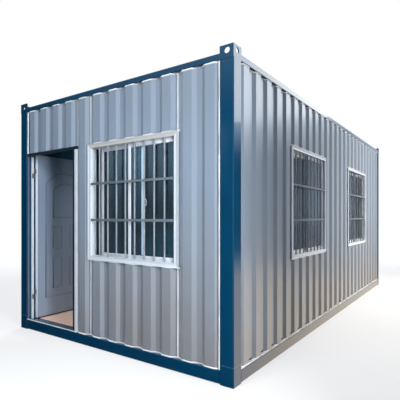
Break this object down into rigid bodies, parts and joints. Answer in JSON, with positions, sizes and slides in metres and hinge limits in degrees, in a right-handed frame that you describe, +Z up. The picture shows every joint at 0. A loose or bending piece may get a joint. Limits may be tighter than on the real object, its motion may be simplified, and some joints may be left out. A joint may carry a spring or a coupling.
{
  "type": "shipping container cabin",
  "caption": "Container-style site cabin: dark blue welded steel frame, grey corrugated walls, barred sliding windows and an inward-opening steel door.",
  "frame": {"origin": "middle of the base, on the ground", "axes": "+Z up, the door end looks to -Y, the wall with two windows looks to +X"},
  "size_m": [3, 6, 2.754],
  "materials": {
    "frame_paint": "gloss dark blue paint on steel",
    "wall_paint": "satin silver grey paint on ribbed steel sheet",
    "floor_wood": "pale wood grain floor covering",
    "lining_board": "smooth dark blue-green lining board",
    "white_trim": "white enamel on window and door surrounds",
    "window_glass": "clear float glass",
    "bar_steel": "plain round steel bars",
    "door_paint": "grey enamel on a pressed steel leaf",
    "hinge_steel": "zinc-plated steel"
  },
  "bodies": {
    "cabin": {"corner_post_front_right": "frame_paint", "corner_post_front_left": "frame_paint", "corner_post_back_right": "frame_paint", "corner_post_back_left": "frame_paint", "lifting_lugs": "frame_paint", "corner_feet": "frame_paint", "bottom_rail_front": "frame_paint", "bottom_rail_back": "frame_paint", "bottom_rail_right": "frame_paint", "bottom_rail_left": "frame_paint", "top_rail_front": "frame_paint", "top_rail_back": "frame_paint", "top_rail_right": "frame_paint", "top_rail_left": "frame_paint", "floor_joists": "frame_paint", "door_head": "frame_paint", "front_wall_over_door": "wall_paint", "front_wall_beside_door": "wall_paint", "front_wall_over_window": "wall_paint", "front_wall_under_window": "wall_paint", "front_wall_corner": "wall_paint", "right_wall_piers": "wall_paint", "right_wall_over_windows": "wall_paint", "right_wall_under_windows": "wall_paint", "left_wall": "wall_paint", "back_wall": "wall_paint", "roof_sheet": "wall_paint", "floor_board": "floor_wood", "front_lining": "lining_board", "right_lining": "lining_board", "room_lining": "lining_board", "ceiling_board": "lining_board", "door_jambs": "white_trim", "door_threshold": "white_trim", "front_window_surround": "white_trim", "right_window_surrounds": "white_trim", "front_window_sashes": "white_trim", "right_window_sashes": "white_trim", "front_window_glass": "window_glass", "right_window_glass": "window_glass", "front_window_grille": "bar_steel", "right_window_grilles": "bar_steel", "door_hinges_frame": "hinge_steel"},
    "door": {"door_leaf": "door_paint", "door_hinges_leaf": "hinge_steel", "door_handle": "hinge_steel"}
  },
  "joints": [
    {"name": "door_hinge", "type": "hinge", "parent": "cabin", "child": "door", "pos_m": [-1.352, -2.907, 1.1], "axis": [0, 0, 1], "range_deg": [-91.5, 0.5]}
  ]
}
